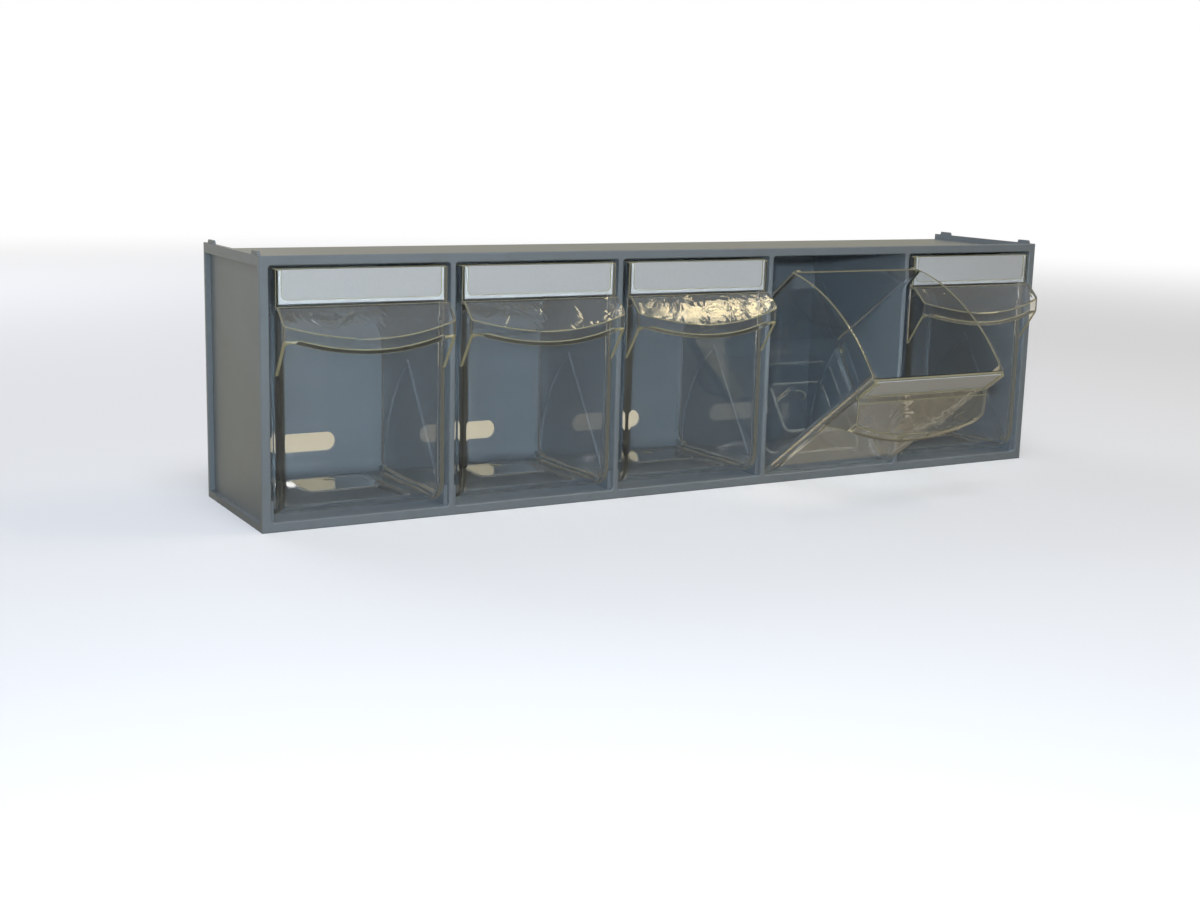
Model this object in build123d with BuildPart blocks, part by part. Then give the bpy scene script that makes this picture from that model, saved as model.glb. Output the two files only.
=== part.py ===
from build123d import *
import math
import os

os.makedirs("parts", exist_ok=True)

# Tilt-out bin stand, in millimetres. X runs to the right along the row of bays, Y runs from
# the front to the back and Z is up. The origin is the centre of the footprint on the base plane.

# Housing
housing_width = 600.0
housing_depth = 110.5
housing_height = 164.0
bay_count = 5
bay_width = 115.0
bay_pitch = 118.4
bay_floor = 6.0
bay_ceiling = 158.2
bay_depth = 108.0
bay_corner = 2.0
front_edge_bevel = 0.6
end_wall = (housing_width - bay_pitch * (bay_count - 1) - bay_width) / 2
partition_thickness = bay_pitch - bay_width
back_thickness = housing_depth - bay_depth
front_y = -housing_depth / 2

# Recesses that thin the outer walls and leave a rim round them
top_recess = 4.0
top_lip = 3.0
fin_thickness = 2.8
end_recess = 3.4
end_front_rim = 4.0
end_back_rim = 2.6
end_base_rim = 4.4
end_top_rim = 6.4
underside_recess = 3.8
underside_rim = 3.0
underside_rib = 3.0

# Wall slots through the back, one behind each bin
slot_length = 44.6
slot_width = 12.8
slot_height = 31.5

# Stacking nubs on the fins, and the pockets under the ends that take them
nub_centres = (11.0, 98.5)
nub_length = 12.0
nub_height = 2.2
nub_taper = 1.0
nub_thickness = 1.6
nub_inset = 1.0
pocket_gap = 0.25

# Pivot of a bin, measured from the front face and from the base
pivot_behind = 12.0
pivot_height = 14.0
open_angle = 54.0
pin_radius = 2.5
pin_length = 2.4
bearing_gap = 0.05
bearing_front = 3.5
bearing_back = 20.5
bearing_top = 18.3
bearing_thickness = 2.4

# Guide ribs on the bay walls: an arc about the pivot and the spoke that stops an open bin
guide_radius = 90.4
guide_spoke_angle = 55.2
guide_width = 3.0
guide_height = 1.4
guide_spoke_start = 5.0
peg_radius = 2.0
peg_length = 2.1
peg_orbit = 84.0
peg_stop_gap = 0.3

# Bin
bin_width = 109.6
bin_depth = 105.0
bin_floor = 8.0
bin_front_top = 156.5
bin_back_top = 116.0
bin_rim_mid = (50.0, 149.0)
bin_front_radius = 15.0
bin_back_radius = 12.0
bin_wall = 2.0
bin_edge_radius = 2.8
ear_width = 4.5
ear_height = 2.2
ear_radius = 1.2

# Raised pad in the floor of the bin, hollow below, with the round dimple of the moulding gate
pad_foot = (80.0, 70.0)
pad_foot_behind = 54.0
pad_top = (46.0, 38.0)
pad_top_behind = 51.0
pad_height = 6.0
pad_radius = 5.0
gate_radius = 3.5
gate_depth = 0.6
gate_behind = 60.0

# Label and the pocket that holds it on the front of the bin
label_width = 104.3
label_height = 20.0
label_bottom = 135.9
label_thickness = 0.5
pocket_width = 104.8
pocket_bottom = 135.7
pocket_depth = 1.0
pocket_skin = 0.9
pocket_frame_width = 108.4
pocket_frame_top = 156.0
window_width = 100.3
window_bottom = 138.4
window_radius = 3.0

# Handle: a hood with an arc in plan, a skirt below its edge and a cheek at each side
handle_width = 108.8
handle_reach = 22.5
handle_side_reach = 15.7
handle_root = (-4.7, 134.7)
handle_apex = (-15.8, 124.7)
handle_tip = (-26.0, 111.4)
handle_skirt = 8.6
handle_foot = 94.0
handle_wall = 2.0
handle_corner = 2.5
front_wall_bite = 1.5


def side_plane(x):
    """Local x is the distance behind the front face, local y the height, at this X."""
    return Plane(origin=(x, front_y, 0), x_dir=(0, 1, 0), z_dir=(1, 0, 0))


def plan_plane(z):
    """Local x is X, local y the distance behind the front face, at this height."""
    return Plane(origin=(0, front_y, z), x_dir=(1, 0, 0), z_dir=(0, 0, 1))


def front_plane(behind):
    """Local x is X, local y the height, facing forward, this far behind the front face."""
    return Plane(origin=(0, front_y + behind, 0), x_dir=(1, 0, 0), z_dir=(0, -1, 0))


def bay_centre(number):
    """X of the middle of a bay, numbered from 1 at the left."""
    return (number - (bay_count + 1) / 2) * bay_pitch


# The whole moulding: a block with five pockets from the front, thinned from outside
with BuildPart() as housing:
    with BuildSketch(plan_plane(0)):
        Rectangle(housing_width, housing_depth, align=(Align.CENTER, Align.MIN))
    extrude(amount=housing_height)

    with BuildSketch(front_plane(0)):
        with Locations((0, (bay_floor + bay_ceiling) / 2)):
            with GridLocations(bay_pitch, bay_pitch, bay_count, 1):
                RectangleRounded(bay_width, bay_ceiling - bay_floor, bay_corner)
    extrude(amount=-bay_depth, mode=Mode.SUBTRACT)
    chamfer(housing.faces().sort_by(Axis.Y)[0].edges(), front_edge_bevel)

    with BuildSketch(plan_plane(housing_height)):
        with Locations((0, top_lip)):
            Rectangle(housing_width - 2 * fin_thickness, housing_depth, align=(Align.CENTER, Align.MIN))
    extrude(amount=-top_recess, mode=Mode.SUBTRACT)

    for side in (-1, 1):
        with BuildSketch(side_plane(side * housing_width / 2)):
            with Locations((end_front_rim, end_base_rim)):
                Rectangle(
                    housing_depth - end_front_rim - end_back_rim,
                    housing_height - end_base_rim - end_top_rim,
                    align=(Align.MIN, Align.MIN),
                )
        extrude(amount=-side * end_recess, mode=Mode.SUBTRACT)

    with BuildSketch(plan_plane(0)):
        with Locations((0, underside_rim)):
            with GridLocations(bay_pitch, bay_pitch, bay_count, 1):
                Rectangle(bay_width, bay_depth - underside_rim, align=(Align.CENTER, Align.MIN))
        with Locations((0, housing_depth / 2)):
            Rectangle(housing_width, underside_rib, mode=Mode.SUBTRACT)
    extrude(amount=underside_recess, mode=Mode.SUBTRACT)

    with BuildSketch(front_plane(bay_depth)):
        with Locations((0, slot_height)):
            with GridLocations(bay_pitch, bay_pitch, bay_count, 1):
                SlotOverall(slot_length, slot_width)
    extrude(amount=-back_thickness, mode=Mode.SUBTRACT)

    # Tapered nubs stand on the fins, and pockets of the same place open below the ends
    for side in (-1, 1):
        outer_x = side * (housing_width / 2 - nub_inset)
        for centre in nub_centres:
            with BuildSketch(side_plane(outer_x)):
                with BuildLine():
                    Polyline(
                        (centre - nub_length / 2, housing_height),
                        (centre + nub_length / 2, housing_height),
                        (centre + nub_length / 2 - nub_taper, housing_height + nub_height),
                        (centre - nub_length / 2 + nub_taper, housing_height + nub_height),
                        close=True,
                    )
                make_face()
            extrude(amount=-side * nub_thickness)
            with BuildSketch(side_plane(outer_x + side * pocket_gap)):
                with Locations((centre, 0)):
                    Rectangle(
                        nub_length + 2 * pocket_gap,
                        nub_height + pocket_gap,
                        align=(Align.CENTER, Align.MIN),
                    )
            extrude(amount=-side * (nub_thickness + 2 * pocket_gap), mode=Mode.SUBTRACT)


def housing_section(x_range, behind_range, z_range):
    """The part of the moulding inside a block given by its limits."""
    with BuildPart() as section:
        add(housing.part)
        with BuildSketch(plan_plane(z_range[0])):
            with Locations((x_range[0], behind_range[0])):
                Rectangle(
                    x_range[1] - x_range[0],
                    behind_range[1] - behind_range[0],
                    align=(Align.MIN, Align.MIN),
                )
        extrude(amount=z_range[1] - z_range[0], mode=Mode.INTERSECT)
    return section.part


def wall_details(wall_x, facing):
    """Pivot bearing and guide ribs that stand out of a bay wall; facing is 1 towards +X."""
    with BuildPart() as details:
        with BuildSketch(side_plane(wall_x)):
            with Locations((bearing_front, bay_floor)):
                Rectangle(
                    bearing_back - bearing_front,
                    bearing_top - bay_floor,
                    align=(Align.MIN, Align.MIN),
                )
            with Locations((pivot_behind, pivot_height)):
                Circle(pin_radius + bearing_gap, mode=Mode.SUBTRACT)
        extrude(amount=facing * bearing_thickness)

        outer = guide_radius + guide_width / 2
        inner = guide_radius - guide_width / 2
        low_angle = -math.degrees(math.asin(pivot_height / guide_radius))
        pivot = (pivot_behind, pivot_height)
        sweep = guide_spoke_angle - low_angle
        with BuildSketch(side_plane(wall_x)):
            with BuildLine():
                outer_arc = CenterArc(pivot, outer, low_angle, sweep)
                inner_arc = CenterArc(pivot, inner, low_angle, sweep)
                Line(outer_arc @ 0, inner_arc @ 0)
                Line(outer_arc @ 1, inner_arc @ 1)
            make_face()
            with Locations(pivot):
                with PolarLocations((outer + guide_spoke_start) / 2, 1, guide_spoke_angle):
                    Rectangle(outer - guide_spoke_start, guide_width)
            with Locations((pivot_behind + guide_radius, bay_floor)):
                Rectangle(
                    2 * bay_floor,
                    2 * bay_floor,
                    align=(Align.CENTER, Align.MAX),
                    mode=Mode.SUBTRACT,
                )
        extrude(amount=facing * guide_height)
    return details.part


# The moulding is parted into sections that meet face to face. The ends and partitions keep
# half of each corner rounding, so that no section runs out to a feather edge.
inner_half = housing_width / 2 - end_wall
corner_cut = bay_corner / 2
partition_reach = partition_thickness / 2 + corner_cut

for side, name in ((-1, "left_end"), (1, "right_end")):
    limits = sorted((side * (inner_half - corner_cut), side * housing_width / 2))
    with BuildPart() as end_section:
        add(housing_section(limits, (0, housing_depth), (0, housing_height + nub_height)))
        add(wall_details(side * inner_half, -side))
    end_section.part.label = name
    export_step(end_section.part, f"parts/{name}.step")

for number in range(1, bay_count):
    middle = bay_centre(number) + bay_pitch / 2
    limits = (middle - partition_reach, middle + partition_reach)
    with BuildPart() as partition:
        add(housing_section(limits, (0, bay_depth), (bay_floor, bay_ceiling)))
        add(wall_details(middle - partition_thickness / 2, -1))
        add(wall_details(middle + partition_thickness / 2, 1))
    partition.part.label = f"partition_{number}"
    export_step(partition.part, f"parts/partition_{number}.step")

panels = {
    "base_panel": ((0, bay_depth), (0, bay_floor + corner_cut)),
    "top_panel": ((0, bay_depth), (bay_ceiling - corner_cut, housing_height)),
    "back_panel": ((bay_depth, housing_depth), (0, housing_height)),
}
span = inner_half - corner_cut
for name, (behind_range, z_range) in panels.items():
    with BuildPart() as panel:
        add(housing_section((-span, span), behind_range, z_range))
        with BuildSketch(front_plane(0)):
            with Locations((0, (bay_floor + bay_ceiling) / 2)):
                with GridLocations(bay_pitch, bay_pitch, bay_count - 1, 1):
                    Rectangle(2 * partition_reach, bay_ceiling - bay_floor)
        extrude(amount=-bay_depth, mode=Mode.SUBTRACT)
    panel.part.label = name
    export_step(panel.part, f"parts/{name}.step")


def hood_shape(inset, lower_corners, back):
    """The hood of the handle as a solid, drawn in from its outside by the inset.

    A side profile with these lower corners, and this back face, is cut by the plan outline.
    """
    half_width = handle_width / 2 - inset
    side_y = inset - handle_side_reach
    with BuildPart() as shape:
        with BuildSketch(side_plane(0)):
            with BuildLine():
                Polyline(
                    handle_tip,
                    *lower_corners,
                    (back, lower_corners[-1][1]),
                    (back, handle_root[1]),
                    handle_root,
                )
                ThreePointArc(handle_root, handle_apex, handle_tip)
            make_face()
            if inset > 0:
                offset(amount=-inset, kind=Kind.INTERSECTION)
        extrude(amount=half_width, both=True)
        with BuildSketch(plan_plane(0)) as plan:
            with BuildLine():
                Polyline(
                    (-half_width, side_y),
                    (-half_width, bin_wall),
                    (half_width, bin_wall),
                    (half_width, side_y),
                )
                ThreePointArc(
                    (half_width, side_y),
                    (0, inset - handle_reach),
                    (-half_width, side_y),
                )
            make_face()
            fillet(plan.vertices().group_by(Axis.Y)[0], handle_corner - inset)
        extrude(amount=housing_height, mode=Mode.INTERSECT)
    return shape.part


skirt_corners = [
    (handle_tip[0], handle_tip[1] - handle_skirt),
    (-handle_side_reach, handle_apex[1] - handle_skirt),
    (0, handle_foot),
]
finger_corners = [(handle_tip[0], 0)]

def floor_pad(base_height):
    """A low frustum standing on this height; its long slopes stiffen the floor of the bin."""
    with BuildPart() as pad:
        with BuildSketch(plan_plane(base_height)):
            with Locations((0, pad_foot_behind)):
                RectangleRounded(*pad_foot, pad_radius)
        with BuildSketch(plan_plane(base_height + pad_height)):
            with Locations((0, pad_top_behind)):
                RectangleRounded(*pad_top, pad_radius)
        loft()
    return pad.part


# One clear bin, closed, in the middle bay
with BuildPart() as tray:
    with BuildSketch(side_plane(0)):
        with BuildLine():
            Line((0, bin_front_top), (0, bin_floor + bin_front_radius))
            RadiusArc(
                (0, bin_floor + bin_front_radius),
                (bin_front_radius, bin_floor),
                -bin_front_radius,
            )
            Line((bin_front_radius, bin_floor), (bin_depth - bin_back_radius, bin_floor))
            RadiusArc(
                (bin_depth - bin_back_radius, bin_floor),
                (bin_depth, bin_floor + bin_back_radius),
                -bin_back_radius,
            )
            Line((bin_depth, bin_floor + bin_back_radius), (bin_depth, bin_back_top))
            ThreePointArc((bin_depth, bin_back_top), bin_rim_mid, (0, bin_front_top))
        make_face()
    extrude(amount=bin_width / 2, both=True)
    offset(amount=-bin_wall, openings=tray.faces().sort_by(Axis.Z)[-1])
    outer_sides = tray.faces().filter_by(
        lambda face: abs(face.center().X) > bin_width / 2 - bin_wall / 2
    )
    rim_face = tray.faces().sort_by(Axis.Z)[-1]
    fillet(outer_sides.edges() - rim_face.edges(), bin_edge_radius)
    add(floor_pad(bin_floor + bin_wall))
    add(floor_pad(bin_floor), mode=Mode.SUBTRACT)
    with BuildSketch(plan_plane(bin_floor + bin_wall + pad_height)):
        with Locations((0, gate_behind)):
            Circle(gate_radius)
    extrude(amount=-gate_depth, mode=Mode.SUBTRACT)
    add(hood_shape(0, skirt_corners, front_wall_bite))
    add(hood_shape(handle_wall, finger_corners, handle_wall), mode=Mode.SUBTRACT)

    # Pocket in front of the wall, open at the top, with a window that shows the label
    pocket_front = -(pocket_depth + pocket_skin)
    with BuildSketch(front_plane(pocket_front)):
        with Locations((0, handle_root[1])):
            Rectangle(
                pocket_frame_width,
                pocket_frame_top - handle_root[1],
                align=(Align.CENTER, Align.MIN),
            )
    extrude(amount=pocket_front - front_wall_bite)
    with BuildSketch(front_plane(-pocket_depth)):
        with Locations((0, pocket_bottom)):
            Rectangle(pocket_width, housing_height, align=(Align.CENTER, Align.MIN))
    extrude(amount=-pocket_depth, mode=Mode.SUBTRACT)
    with BuildSketch(front_plane(pocket_front)):
        with Locations((0, window_bottom)):
            RectangleRounded(
                window_width,
                housing_height,
                window_radius,
                align=(Align.CENTER, Align.MIN),
            )
    extrude(amount=-pocket_skin, mode=Mode.SUBTRACT)

    # Small ears on the back corners of the rim
    ear_x = bin_width / 2 - bin_edge_radius - ear_width / 2
    with BuildSketch(front_plane(bin_depth)):
        with Locations((-ear_x, bin_back_top), (ear_x, bin_back_top)):
            RectangleRounded(ear_width, 2 * ear_height, ear_radius)
    extrude(amount=bin_wall)

    # Pivot pins low at the front, and stop pegs that ride inside the guide ribs
    stop_offset = math.degrees(math.asin((guide_width / 2 + peg_radius + peg_stop_gap) / peg_orbit))
    peg_angle = math.radians(guide_spoke_angle - stop_offset - open_angle)
    peg_behind = pivot_behind + peg_orbit * math.cos(peg_angle)
    peg_height = pivot_height + peg_orbit * math.sin(peg_angle)
    for side in (-1, 1):
        with BuildSketch(side_plane(side * (bin_width / 2 - bin_wall / 2))):
            with Locations((pivot_behind, pivot_height)):
                Circle(pin_radius)
        extrude(amount=side * (pin_length + bin_wall / 2))
        with BuildSketch(side_plane(side * (bin_width / 2 - bin_wall / 2))):
            with Locations((peg_behind, peg_height)):
                Circle(peg_radius)
        extrude(amount=side * (peg_length + bin_wall / 2))

# Printed card that slides into the pocket from above
with BuildPart() as label_card:
    with BuildSketch(front_plane(-(pocket_depth + label_thickness) / 2)):
        with Locations((0, label_bottom)):
            Rectangle(label_width, label_height, align=(Align.CENTER, Align.MIN))
    extrude(amount=-label_thickness)

# Each bay holds a bin with its label; the fourth bin is tilted out to its stop
tilts = {4: open_angle}
pivot = Pos(0, front_y + pivot_behind, pivot_height)
for number in range(1, bay_count + 1):
    tilt = Rot(X=tilts.get(number, 0))
    place = Pos(bay_centre(number), 0, 0) * pivot * tilt * pivot.inverse()
    for name, piece in (("bin", tray.part), ("label", label_card.part)):
        placed = place * piece
        placed.label = f"{name}_{number}"
        export_step(placed, f"parts/{name}_{number}.step")
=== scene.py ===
import math

import bmesh
import bpy
import numpy as np
from mathutils import Matrix, Vector


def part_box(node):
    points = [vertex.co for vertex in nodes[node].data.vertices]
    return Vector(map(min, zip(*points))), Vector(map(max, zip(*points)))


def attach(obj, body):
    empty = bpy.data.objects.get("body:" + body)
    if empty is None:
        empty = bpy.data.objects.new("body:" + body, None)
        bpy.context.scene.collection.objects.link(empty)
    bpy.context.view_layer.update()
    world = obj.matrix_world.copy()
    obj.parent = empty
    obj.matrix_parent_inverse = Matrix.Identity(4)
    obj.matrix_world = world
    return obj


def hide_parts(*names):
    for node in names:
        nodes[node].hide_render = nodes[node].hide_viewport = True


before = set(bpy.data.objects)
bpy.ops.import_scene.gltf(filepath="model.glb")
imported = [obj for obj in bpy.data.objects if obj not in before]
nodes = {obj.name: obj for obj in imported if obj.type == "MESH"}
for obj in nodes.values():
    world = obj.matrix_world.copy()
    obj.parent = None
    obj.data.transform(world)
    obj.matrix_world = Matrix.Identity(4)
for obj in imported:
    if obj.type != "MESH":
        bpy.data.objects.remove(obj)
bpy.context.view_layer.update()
binNames = sorted(name for name in nodes if name.startswith("bin_"))
labelNames = sorted(name for name in nodes if name.startswith("label_"))
housingNames = sorted(set(nodes) - set(binNames) - set(labelNames))
print("frame loaded:", len(nodes), "nodes")


# sRGB hex such as "7b8791" to the linear colour that Blender's sockets take
def linearColour(hexText):
    parts = [int(hexText[i:i + 2], 16) / 255 for i in (0, 2, 4)]
    return tuple(c / 12.92 if c <= 0.04045 else ((c + 0.055) / 1.055) ** 2.4 for c in parts) + (1.0,)


# One node with its settings. A value that is another node's output is linked, and an input goes by
# its name, or by its number where several have the same name.
def addNode(tree, kind, settings=None):
    node = tree.nodes.new(kind)
    for name, value in (settings or {}).items():
        if isinstance(value, bpy.types.NodeSocket):
            tree.links.new(value, node.inputs[name])
        elif isinstance(name, str) and hasattr(node, name):
            setattr(node, name, value)
        else:
            node.inputs[name].default_value = value
    return node


colourA, colourB, colourOut = 6, 7, 2   # the numbers of a Mix node's sockets when it mixes colours


# patches of a real size that run between two colours
def mottled(tree, place, size, detail, firstColour, secondColour):
    noise = addNode(tree, "ShaderNodeTexNoise", {"Vector": place, "Scale": 1 / size, "Detail": detail})
    mix = addNode(tree, "ShaderNodeMix", {"data_type": "RGBA", "Factor": noise.outputs["Fac"],
                                          colourA: linearColour(firstColour),
                                          colourB: linearColour(secondColour)})
    return mix.outputs[colourOut]


# the normal of a surface with waves of a real size and depth, on top of the lower waves, if any
def wavy(tree, place, waves, strength, lower=None):
    noise = addNode(tree, "ShaderNodeTexNoise", {"Vector": place, "Scale": 1 / waves["size"],
                                                 "Detail": waves["detail"],
                                                 "Distortion": waves["distortion"]})
    bump = addNode(tree, "ShaderNodeBump", {"Height": noise.outputs["Fac"], "Strength": strength,
                                            "Distance": waves["depth"]})
    if lower:
        tree.links.new(lower, bump.inputs["Normal"])
    return bump.outputs["Normal"]


def newMaterial(name):
    material = bpy.data.materials.new(name)
    material.use_nodes = True
    material.node_tree.nodes.clear()
    return material, material.node_tree


def setMaterial(obj, material):
    obj.data.materials.clear()
    obj.data.materials.append(material)


# Polystyrene, injection moulded in a spark-eroded tool: a satin blue-grey with a fine grain,
# faint cloudy flow marks and a little handling grime, so that it never looks like one flat colour.
housingPlastic = {
    "paleColour": "79828a",
    "darkColour": "70787f",
    "cloudSize": 0.060,       # metres across one cloud of the flow marks
    "cloudDetail": 3.0,
    "grimeColour": "66645e",
    "grimeShare": 0.22,
    "grimeSize": 0.018,
    "grimeDetail": 6.0,
    "grimeBreakup": 0.7,      # how ragged its patches are
    "grimeFrom": 0.48,        # below this level of the noise the plastic is clean
    "grimeTo": 0.75,
    # drawn coarser than the real 0.1 mm grain, so that it shows
    "grain": {"size": 0.0009, "depth": 0.000003, "detail": 2.0, "distortion": 0.0},
    "grainStrength": 0.5,
    "roughness": 0.40,
    "ior": 1.55,
    "specular": 0.3,
}


def buildHousingPlastic(look):
    material, tree = newMaterial("satinMouldedPolystyrene")
    place = addNode(tree, "ShaderNodeTexCoord").outputs["Object"]
    clean = mottled(tree, place, look["cloudSize"], look["cloudDetail"], look["paleColour"],
                    look["darkColour"])
    grime = addNode(tree, "ShaderNodeTexNoise", {"Vector": place, "Scale": 1 / look["grimeSize"],
                                                 "Detail": look["grimeDetail"],
                                                 "Roughness": look["grimeBreakup"]})
    grimeAmount = addNode(tree, "ShaderNodeMapRange", {"Value": grime.outputs["Fac"],
                                                       "From Min": look["grimeFrom"],
                                                       "From Max": look["grimeTo"],
                                                       "To Max": look["grimeShare"]})
    dirty = addNode(tree, "ShaderNodeMix", {"data_type": "RGBA", "Factor": grimeAmount.outputs["Result"],
                                            colourA: clean, colourB: linearColour(look["grimeColour"])})
    grain = wavy(tree, place, look["grain"], look["grainStrength"])
    shader = addNode(tree, "ShaderNodeBsdfPrincipled", {"Base Color": dirty.outputs[colourOut],
                                                        "Roughness": look["roughness"],
                                                        "IOR": look["ior"],
                                                        "Specular IOR Level": look["specular"],
                                                        "Normal": grain})
    addNode(tree, "ShaderNodeOutputMaterial", {"Surface": shader.outputs["BSDF"]})
    return material


# General-purpose polystyrene, moulded in a polished tool: clear as glass, bends light more than
# window glass does, and is faintly yellow where light has run far inside it. The narrow end faces
# of its walls and its rounded edges, where that light comes out, are a pale, slightly yellow and
# cloudy band of painted glow, which stands in for that light. The pad's edges take some of this
# painted glow as pale painted highlight lines, and the top of the handle a little of it and fine
# swirling streaks.
clearPlastic = {
    "colour": "f2f3f4",
    "roughness": 0.02,
    "ior": 1.59,
    "glossTint": "b8bcc0",    # holds back the mirror image of the pale studio in so many walls
    "innerColour": "d9cf96",
    "innerDensity": 3.0,
    "walls": {"size": 0.030, "depth": 0.00012, "detail": 1.5, "distortion": 0.0},
    "wallStrength": 0.6,
    "handleTop": {"size": 0.020, "depth": 0.00060, "detail": 1.0, "distortion": 2.5},
    # the painted glow: a pale, slightly yellow, cloudy colour, less clear and rougher, in place of the
    # light that a real wall carries out at its ends and edges
    "paintedGlow": {"colour": "cdc8a4", "cloudColour": "b3ae8c", "cloudSize": 0.012, "cloudDetail": 3.0,
                "clearShare": 0.55, "roughness": 0.25},
    # Light that is inside a wall after more mirror turns than this ends in a dull olive, which stands
    # in for the light that a real wall carries to its edges
    "caught": {"colour": "80817a", "strength": 0.55, "mirrorTurns": 2.5},
}


def buildClearPlastic(look):
    material, tree = newMaterial("clearMouldedPolystyrene")
    place = addNode(tree, "ShaderNodeTexCoord").outputs["Object"]
    # how much painted glow a face takes, and whether it is the top of the handle
    paintedGlowShare = addNode(tree, "ShaderNodeAttribute", {"attribute_name": "paintedGlow"}).outputs["Fac"]
    onTop = addNode(tree, "ShaderNodeAttribute", {"attribute_name": "handleTop"}).outputs["Fac"]
    wallWaves = wavy(tree, place, look["walls"], look["wallStrength"])
    normal = wavy(tree, place, look["handleTop"], onTop, wallWaves)
    paintedGlowLook = look["paintedGlow"]
    paintedGlowTint = mottled(tree, place, paintedGlowLook["cloudSize"], paintedGlowLook["cloudDetail"], paintedGlowLook["colour"],
                      paintedGlowLook["cloudColour"])
    # the painted glow's pale yellow, mixed in by each face's share of it
    tint = addNode(tree, "ShaderNodeMix", {"data_type": "RGBA", "Factor": paintedGlowShare,
                                           colourA: linearColour(look["colour"]), colourB: paintedGlowTint})
    clear = addNode(tree, "ShaderNodeMapRange", {"Value": paintedGlowShare, "To Min": 1.0,
                                                 "To Max": paintedGlowLook["clearShare"]})
    rough = addNode(tree, "ShaderNodeMapRange", {"Value": paintedGlowShare, "To Min": look["roughness"],
                                                 "To Max": paintedGlowLook["roughness"]})
    plastic = addNode(tree, "ShaderNodeBsdfPrincipled", {"Base Color": tint.outputs[colourOut],
                                                         "Roughness": rough.outputs["Result"],
                                                         "Transmission Weight": clear.outputs["Result"],
                                                         "IOR": look["ior"],
                                                         "Specular Tint": linearColour(look["glossTint"]),
                                                         "Normal": normal})
    # lamps shine through a clear bin on to what is in it, as they do in the real one
    window = addNode(tree, "ShaderNodeBsdfTransparent", {"Color": linearColour(look["colour"])})
    path = addNode(tree, "ShaderNodeLightPath")
    letsLampsThrough = addNode(tree, "ShaderNodeMixShader", {"Fac": path.outputs["Is Shadow Ray"],
                                                             1: plastic.outputs["BSDF"],
                                                             2: window.outputs["BSDF"]})
    caught = look["caught"]
    glow = addNode(tree, "ShaderNodeEmission", {"Color": linearColour(caught["colour"]),
                                                "Strength": caught["strength"]})
    turned = addNode(tree, "ShaderNodeMath", {"operation": "GREATER_THAN",
                                              0: path.outputs["Glossy Depth"],
                                              1: caught["mirrorTurns"]})
    fromInside = addNode(tree, "ShaderNodeNewGeometry").outputs["Backfacing"]
    isCaught = addNode(tree, "ShaderNodeMath", {"operation": "MULTIPLY", 0: turned.outputs["Value"],
                                                1: fromInside})
    surface = addNode(tree, "ShaderNodeMixShader", {"Fac": isCaught.outputs["Value"],
                                                    1: letsLampsThrough.outputs["Shader"],
                                                    2: glow.outputs["Emission"]})
    inside = addNode(tree, "ShaderNodeVolumeAbsorption", {"Color": linearColour(look["innerColour"]),
                                                          "Density": look["innerDensity"]})
    addNode(tree, "ShaderNodeOutputMaterial", {"Surface": surface.outputs["Shader"],
                                               "Volume": inside.outputs["Volume"]})
    return material


# Uncoated card, 0.5 mm: a dry off-white with soft fibre mottling and no shine
labelCard = {
    "paleColour": "c3c6ca",
    "darkColour": "b8bbbf",
    "fibreSize": 0.0012,
    "fibreDetail": 4.0,
    "roughness": 0.85,
    "ior": 1.45,
}


def buildLabelCard(look):
    material, tree = newMaterial("uncoatedPaperCard")
    place = addNode(tree, "ShaderNodeTexCoord").outputs["Object"]
    fibres = mottled(tree, place, look["fibreSize"], look["fibreDetail"], look["paleColour"],
                     look["darkColour"])
    shader = addNode(tree, "ShaderNodeBsdfPrincipled", {"Base Color": fibres, "IOR": look["ior"],
                                                        "Roughness": look["roughness"]})
    addNode(tree, "ShaderNodeOutputMaterial", {"Surface": shader.outputs["BSDF"]})
    return material


materialFor = {
    "housing": buildHousingPlastic(housingPlastic),
    "bin": buildClearPlastic(clearPlastic),
    "label": buildLabelCard(labelCard),
}
for name in housingNames:
    setMaterial(nodes[name], materialFor["housing"])
for name in labelNames:
    setMaterial(nodes[name], materialFor["label"])
print("materials set")


# Each bin is shown by a finer copy of its solid: doubles merged, flat faces joined up, the inside
# corners of the tray and the pad's edges rounded as a mould has them, the other outer edges broken.
binMoulding = {
    "mergeDistance": 1e-6,
    "insideHalfWidth": 0.0528,    # from the bin's middle to the inside of a side wall
    "sideTolerance": 1e-4,
    "cornerRadius": 0.005,
    "cornerSegments": 5,
    "edgeRadius": 0.0004,
    "edgeSegments": 2,
    "sharpAngle": 32.0,
    "flatAngle": 0.3,
    "sliverAngle": 4.0,       # long strips too narrow to round join the flat face beside them
    "sliverLength": 0.060,
    "bulgeAngle": 50.0,       # faces that turn less than this round an outer edge shade smoothly
    "hollowAngle": 23.5,      # and those round a hollow one
    "hollowSlope": 1e-3,      # a face that climbs more than this above another makes a hollow with it
    "padAngle": 15.0,
    "padRadius": 0.0009,
    "padEdgePaintedGlow": 0.28,     # the pad's edges take this much of the painted glow, as pale painted highlight lines
    "handleTopPaintedGlow": 0.15,   # and the handle's top this much
    "padBox": ((-0.0405, -0.0370, 0.0075), (0.0405, 0.0345, 0.0165)),   # about the bin's middle
    "wallEndWidth": 0.0021,   # a wall's end face is no wider than this
    "wallEndShare": 0.5,      # and more of its outline than this is sharp
    "pivot": (-0.04325, 0.014),   # its Y and Z
    "openTilts": {"bin_4": 54.0},   # degrees, of a bin that rests open
    "handleTop": {"frontOf": -0.0565, "zRange": (0.1105, 0.1360), "leastRise": 0.35},
}

# what a bin's face is, which its material index says until it becomes two attributes
plainFace, paintedGlowFace, handleTopFace, padEdgeFace = range(4)
sameFace = -1                 # a new face on a rounded edge is as the faces beside it
arcProfile = 0.5              # the shape that Blender gives a rounded edge


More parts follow.
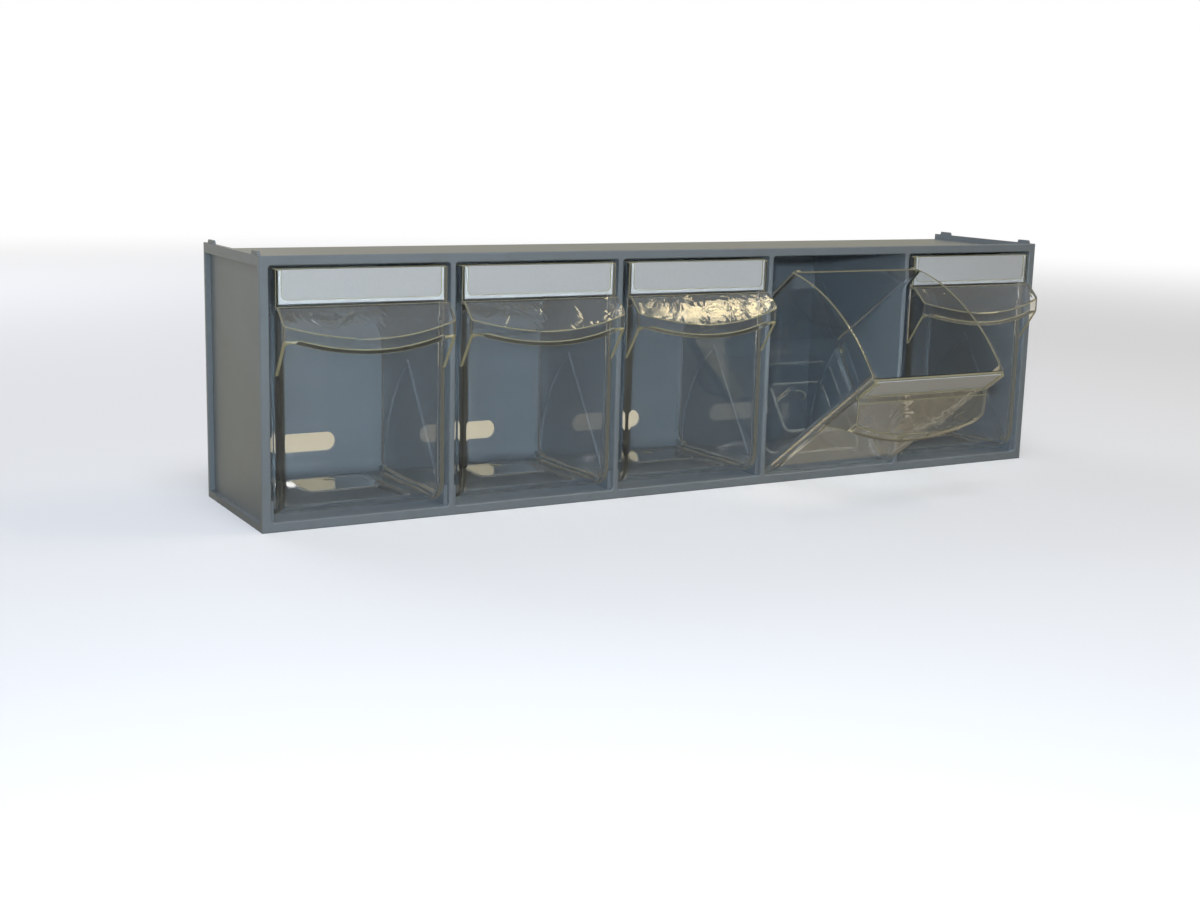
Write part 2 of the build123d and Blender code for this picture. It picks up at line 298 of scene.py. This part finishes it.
def mergedCopy(node, look):
    shape = bmesh.new()
    shape.from_mesh(node.data)
    bmesh.ops.remove_doubles(shape, verts=shape.verts, dist=look["mergeDistance"])
    bmesh.ops.dissolve_limit(shape, angle_limit=math.radians(look["flatAngle"]), verts=shape.verts,
                             edges=shape.edges)
    return shape


# area over half the outline, which is the width of a long strip
def stripWidth(face):
    return 2 * face.calc_area() / sum(edge.calc_length() for edge in face.edges)


# a narrow face with sharp edges along most of its outline
def isWallEnd(face, width, look):
    sharpAngle = math.radians(look["sharpAngle"])
    outline = sum(edge.calc_length() for edge in face.edges)
    sharp = sum(edge.calc_length() for edge in face.edges if edge.calc_face_angle(0) > sharpAngle)
    return sharp > look["wallEndShare"] * outline and stripWidth(face) < width


# Each corner's normal is the mean of the normals round its vertex, weighted by area, of those
# faces that turn away from its own face by less than the angle for a bulge or for a hollow.
def creasedNormals(mesh, look):
    def read(items, title, width=1, kind=float):
        values = np.empty(len(items) * width, dtype=kind)
        items.foreach_get(title, values)
        return values.reshape(-1, width) if width > 1 else values

    vertexOf = read(mesh.loops, "vertex_index", kind=int)
    faceOf = np.repeat(np.arange(len(mesh.polygons)), read(mesh.polygons, "loop_total", kind=int))
    normals = read(mesh.polygons, "normal", 3)
    centres = read(mesh.polygons, "center", 3)
    areas = read(mesh.polygons, "area")
    places = read(mesh.vertices, "co", 3)
    # every pair of corners, own and other, that meet at one vertex
    corners = np.arange(len(vertexOf))
    counts = np.bincount(vertexOf, minlength=len(places))
    mates = counts[vertexOf]
    own = np.repeat(corners, mates)
    turn = np.arange(len(own)) - np.repeat(np.cumsum(mates) - mates, mates)
    sortedCorners = np.argsort(vertexOf, kind="stable")
    other = sortedCorners[np.repeat((np.cumsum(counts) - counts)[vertexOf], mates) + turn]
    ownNormal, otherNormal = normals[faceOf[own]], normals[faceOf[other]]
    facing = (ownNormal * otherNormal).sum(axis=1)
    reach = centres[faceOf[other]] - places[vertexOf[own]]
    rise = (ownNormal * reach).sum(axis=1)
    isHollow = rise > look["hollowSlope"] * np.linalg.norm(reach, axis=1)
    limit = np.cos(np.radians(np.where(isHollow, look["hollowAngle"], look["bulgeAngle"])))
    weight = areas[faceOf[other]] * ((facing > limit) | (faceOf[own] == faceOf[other]))
    total = np.stack([np.bincount(own, weight * otherNormal[:, axis], len(corners))
                      for axis in range(3)], axis=1)
    return total / np.linalg.norm(total, axis=1, keepdims=True)


def roundEdges(shape, edges, radius, segments, newFace):
    bmesh.ops.bevel(shape, geom=edges, offset=radius, offset_type="OFFSET", segments=segments,
                    profile=arcProfile, affect="EDGES", clamp_overlap=False, material=newFace)


def buildBin(name, look):
    low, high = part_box(name)
    centre = (low[0] + high[0]) / 2
    sharpAngle = math.radians(look["sharpAngle"])
    narrow = 2 * look["edgeRadius"]
    shape = mergedCopy(nodes[name], look)
    slivers = [edge for edge in shape.edges if edge.calc_length() > look["sliverLength"]
               and edge.calc_face_angle(0) < math.radians(look["sliverAngle"])
               and min(stripWidth(face) for face in edge.link_faces) < narrow]
    bmesh.ops.dissolve_edges(shape, edges=slivers, use_verts=False)

    # turned as when the bin is closed, to tell edges and faces apart by their place
    closing = Matrix.Rotation(-math.radians(look["openTilts"].get(name, 0.0)), 3, "X")
    pivot = Vector((centre, *look["pivot"]))
    padLow, padHigh = look["padBox"]

    def closedPlace(point):
        return closing @ (point - pivot) + pivot

    def inPad(edge):
        paintedGlowLook = [closedPlace(v.co) - Vector((centre, 0, 0)) for v in edge.verts]
        return all(padLow[axis] < end[axis] < padHigh[axis] for end in paintedGlowLook for axis in range(3))

    def isPadEdge(edge):
        return math.radians(look["padAngle"]) < edge.calc_face_angle(0) < sharpAngle and inPad(edge)

    def isHandleTop(face):
        top = look["handleTop"]
        place = closedPlace(face.calc_center_median())
        return (place.y < top["frontOf"] and top["zRange"][0] < place.z < top["zRange"][1]
                and (closing @ face.normal).z > top["leastRise"])

    def atSide(edge):
        return all(abs(abs(v.co.x - centre) - look["insideHalfWidth"]) < look["sideTolerance"]
                   for v in edge.verts)

    roundEdges(shape, [edge for edge in shape.edges if isPadEdge(edge)], look["padRadius"],
               look["edgeSegments"], padEdgeFace)
    for face in shape.faces:
        face.smooth = True
        if face.material_index == padEdgeFace:
            continue
        if isHandleTop(face):
            face.material_index = handleTopFace
        else:
            # a wall's end face takes the full painted glow
            isEnd = isWallEnd(face, look["wallEndWidth"], look)
            face.material_index = paintedGlowFace if isEnd else plainFace
    corners = [edge for edge in shape.edges
               if edge.calc_face_angle_signed(0) < -sharpAngle and atSide(edge)]
    roundEdges(shape, corners, look["cornerRadius"], look["cornerSegments"], sameFace)
    # the edges of a step too low for two rounded edges are left as they are
    # the faces of these rounded outer edges take the full painted glow
    edges = [edge for edge in shape.edges if edge.calc_face_angle_signed(0) > sharpAngle
             and not any(isWallEnd(face, narrow, look) for face in edge.link_faces)]
    roundEdges(shape, edges, look["edgeRadius"], look["edgeSegments"], paintedGlowFace)

    mesh = bpy.data.meshes.new(name + "_moulding")
    shape.to_mesh(mesh)
    shape.free()
    kinds = np.empty(len(mesh.polygons), dtype=int)
    mesh.polygons.foreach_get("material_index", kinds)
    # painted glow share of a plain face, a wall's end or rounded edge, the handle's top and the pad's
    # edge
    paintedGlowShares = np.array([0.0, 1.0, look["handleTopPaintedGlow"], look["padEdgePaintedGlow"]])
    mesh.attributes.new("paintedGlow", "FLOAT", "FACE").data.foreach_set("value", paintedGlowShares[kinds])
    isTop = (kinds == handleTopFace) * 1.0
    mesh.attributes.new("handleTop", "FLOAT", "FACE").data.foreach_set("value", isTop)
    mesh.polygons.foreach_set("material_index", np.zeros_like(kinds))
    mesh.materials.append(materialFor["bin"])
    # with every edge marked sharp, each corner keeps the normal it is given
    mesh.edges.foreach_set("use_edge_sharp", np.ones(len(mesh.edges), dtype=bool))
    mesh.normals_split_custom_set(creasedNormals(mesh, look))
    piece = bpy.data.objects.new(name + "_moulding", mesh)
    bpy.context.scene.collection.objects.link(piece)
    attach(piece, "tilt_" + name)
    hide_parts(name)


for name in binNames:
    buildBin(name, binMoulding)
print("bins made:", len(binNames))


# The studio: a pale floor that keeps the shadow near the object and fades into a white surround,
# warm light from above, and a small cool lamp beside the camera. Gloss and glass show a tan floor
# and a cream wall instead, as the clear bins of the photograph do.
studio = {
    "floorColour": "dde0e6",
    "tableColour": "b4a993",  # the tan floor that light bounces off and that gloss and glass show
    "behindColour": "e9e2cb", # and the same behind the object, as seen through the slots
    "behindFrom": 0.02,       # metres along Y from which the one gives way to the other
    "behindTo": 0.10,
    "floorGlow": 0.30,        # seen by the camera, and not cast on the object
    "glowInGlass": 0.6,       # of that glow, in gloss and glass
    "floorSize": 16.0,
    "fadeStart": 0.9,         # metres from the object's middle
    "fadeEnd": 2.6,
    "ambientColour": "f8f5f4",
    "ambientStrength": 0.28,
    "wallColour": "e6dbba",   # the cream wall behind, as gloss and glass show it
    "backdropFrom": 0.30,     # a direction's Z from which the wall gives way to the dimmer ceiling
    "backdropTo": 0.70,
    "lookAt": (0.0, 0.0, 0.08),
    "lamps": {
        "ceilingLamp": {"place": (1.33, -0.48, 2.10), "size": (0.26, 0.85), "power": 9.4,
                        "colour": "ffe8b6", "straightDown": True},
        "leftSoftbox": {"place": (-0.30, -0.85, 1.70), "size": (0.70, 0.70), "power": 10.8,
                        "colour": "f4f6f8"},
        "cameraLamp": {"place": (-0.62, -0.99, 0.30), "size": (0.05, 0.035), "power": 6.2,
                       "colour": "dcebf6"},
        "backFill": {"place": (-0.50, 1.70, 1.00), "size": (1.30, 0.80), "power": 11.0,
                     "colour": "f8f8fa"},
    },
}


# 1 for rays from the camera, and share for mirror images and what is seen through glass
def seenDirectly(tree, share):
    path = addNode(tree, "ShaderNodeLightPath")
    second = addNode(tree, "ShaderNodeMath", {"operation": "MAXIMUM",
                                              0: path.outputs["Is Transmission Ray"],
                                              1: path.outputs["Is Glossy Ray"]})
    secondShare = addNode(tree, "ShaderNodeMath", {"operation": "MULTIPLY", 0: second.outputs["Value"],
                                                   1: share})
    seen = addNode(tree, "ShaderNodeMath", {"operation": "MAXIMUM", 0: path.outputs["Is Camera Ray"],
                                            1: secondShare.outputs["Value"]})
    return seen.outputs["Value"]


def buildFloor(look):
    half = look["floorSize"] / 2
    mesh = bpy.data.meshes.new("paleFloor")
    mesh.from_pydata([(-half, -half, 0), (half, -half, 0), (half, half, 0), (-half, half, 0)], [],
                     [(0, 1, 2, 3)])
    floor = bpy.data.objects.new("paleFloor", mesh)
    bpy.context.scene.collection.objects.link(floor)
    material, tree = newMaterial("palePaperFloor")
    place = addNode(tree, "ShaderNodeTexCoord").outputs["Object"]
    depth = addNode(tree, "ShaderNodeSeparateXYZ", {"Vector": place}).outputs["Y"]
    behind = addNode(tree, "ShaderNodeMapRange", {"Value": depth, "From Min": look["behindFrom"],
                                                  "From Max": look["behindTo"]})
    table = addNode(tree, "ShaderNodeMix", {"data_type": "RGBA", "Factor": behind.outputs["Result"],
                                            colourA: linearColour(look["tableColour"]),
                                            colourB: linearColour(look["behindColour"])})
    path = addNode(tree, "ShaderNodeLightPath")
    tint = addNode(tree, "ShaderNodeMix", {"data_type": "RGBA", "Factor": path.outputs["Is Camera Ray"],
                                           colourA: table.outputs[colourOut],
                                           colourB: linearColour(look["floorColour"])})
    paper = addNode(tree, "ShaderNodeBsdfDiffuse", {"Color": tint.outputs[colourOut]})
    seen = seenDirectly(tree, look["glowInGlass"])
    glowShare = addNode(tree, "ShaderNodeMath", {"operation": "MULTIPLY", 0: seen,
                                                 1: look["floorGlow"]})
    glow = addNode(tree, "ShaderNodeEmission", {"Color": tint.outputs[colourOut],
                                                "Strength": glowShare.outputs["Value"]})
    near = addNode(tree, "ShaderNodeAddShader", {0: paper.outputs["BSDF"], 1: glow.outputs["Emission"]})
    distance = addNode(tree, "ShaderNodeVectorMath", {"operation": "LENGTH", "Vector": place})
    fade = addNode(tree, "ShaderNodeMapRange", {"interpolation_type": "SMOOTHSTEP",
                                                "Value": distance.outputs["Value"],
                                                "From Min": look["fadeStart"],
                                                "From Max": look["fadeEnd"]})
    whiteShare = addNode(tree, "ShaderNodeMath", {"operation": "MULTIPLY", 0: fade.outputs["Result"],
                                                  1: seenDirectly(tree, 1.0)})
    white = addNode(tree, "ShaderNodeEmission", {"Strength": 1.0})
    surface = addNode(tree, "ShaderNodeMixShader", {"Fac": whiteShare.outputs["Value"],
                                                    1: near.outputs["Shader"],
                                                    2: white.outputs["Emission"]})
    addNode(tree, "ShaderNodeOutputMaterial", {"Surface": surface.outputs["Shader"]})
    setMaterial(floor, material)


def buildSurround(look):
    world = bpy.data.worlds.new("whiteSurround")
    bpy.context.scene.world = world
    world.use_nodes = True
    tree = world.node_tree
    tree.nodes.clear()
    ambient = addNode(tree, "ShaderNodeBackground", {"Color": linearColour(look["ambientColour"]),
                                                     "Strength": look["ambientStrength"]})
    path = addNode(tree, "ShaderNodeLightPath")
    tint = addNode(tree, "ShaderNodeMix", {"data_type": "RGBA", "Factor": path.outputs["Is Camera Ray"],
                                           colourA: linearColour(look["wallColour"]),
                                           colourB: linearColour("ffffff")})
    white = addNode(tree, "ShaderNodeBackground", {"Color": tint.outputs[colourOut], "Strength": 1.0})
    # gloss and glass show the cream wall all round, and the dimmer ceiling above it
    direction = addNode(tree, "ShaderNodeTexCoord").outputs["Generated"]
    height = addNode(tree, "ShaderNodeSeparateXYZ", {"Vector": direction}).outputs["Z"]
    backdrop = addNode(tree, "ShaderNodeMapRange", {"interpolation_type": "SMOOTHSTEP",
                                                    "Value": height, "To Min": 1.0, "To Max": 0.0,
                                                    "From Min": look["backdropFrom"],
                                                    "From Max": look["backdropTo"]})
    seen = seenDirectly(tree, backdrop.outputs["Result"])
    surround = addNode(tree, "ShaderNodeMixShader", {"Fac": seen, 1: ambient.outputs["Background"],
                                                     2: white.outputs["Background"]})
    addNode(tree, "ShaderNodeOutputWorld", {"Surface": surround.outputs["Shader"]})


def addLamp(name, look, target):
    data = bpy.data.lights.new(name, "AREA")
    data.shape = "RECTANGLE"
    data.size, data.size_y = look["size"]
    data.energy = look["power"]
    data.color = linearColour(look["colour"])[:3]
    lamp = bpy.data.objects.new(name, data)
    bpy.context.scene.collection.objects.link(lamp)
    lamp.location = look["place"]
    if not look.get("straightDown"):
        lamp.rotation_euler = (Vector(target) - Vector(look["place"])).to_track_quat("-Z", "Y").to_euler()
    lamp.visible_camera = False


buildFloor(studio)
buildSurround(studio)
for name, look in studio["lamps"].items():
    addLamp(name, look, studio["lookAt"])
print("studio set")


# The camera as solved from the photograph: its place and its three turns
view = {
    "place": (-0.59625, -0.97393, 0.24052),
    "yaw": 0.5188,            # radians from +Y towards +X
    "pitch": -0.1929,
    "roll": 0.0259,
    "focalPixels": 1645.09,
    "imageWidth": 1200,
    "sensorWidth": 36.0,
}


def buildCamera(look):
    yaw, pitch, roll = look["yaw"], look["pitch"], look["roll"]
    ahead = Vector((math.sin(yaw) * math.cos(pitch), math.cos(yaw) * math.cos(pitch), math.sin(pitch)))
    right = Vector((math.cos(yaw), -math.sin(yaw), 0))
    up = right.cross(ahead)
    rolledRight = math.cos(roll) * right + math.sin(roll) * up
    rolledUp = math.cos(roll) * up - math.sin(roll) * right
    data = bpy.data.cameras.new("photoCamera")
    data.sensor_width = look["sensorWidth"]
    data.lens = look["focalPixels"] * look["sensorWidth"] / look["imageWidth"]
    camera = bpy.data.objects.new("photoCamera", data)
    bpy.context.scene.collection.objects.link(camera)
    turn = Matrix((rolledRight, rolledUp, -ahead)).transposed().to_4x4()
    camera.matrix_world = Matrix.Translation(look["place"]) @ turn
    bpy.context.scene.camera = camera


buildCamera(view)
bpy.context.scene.view_settings.view_transform = "Standard"
print("camera set")
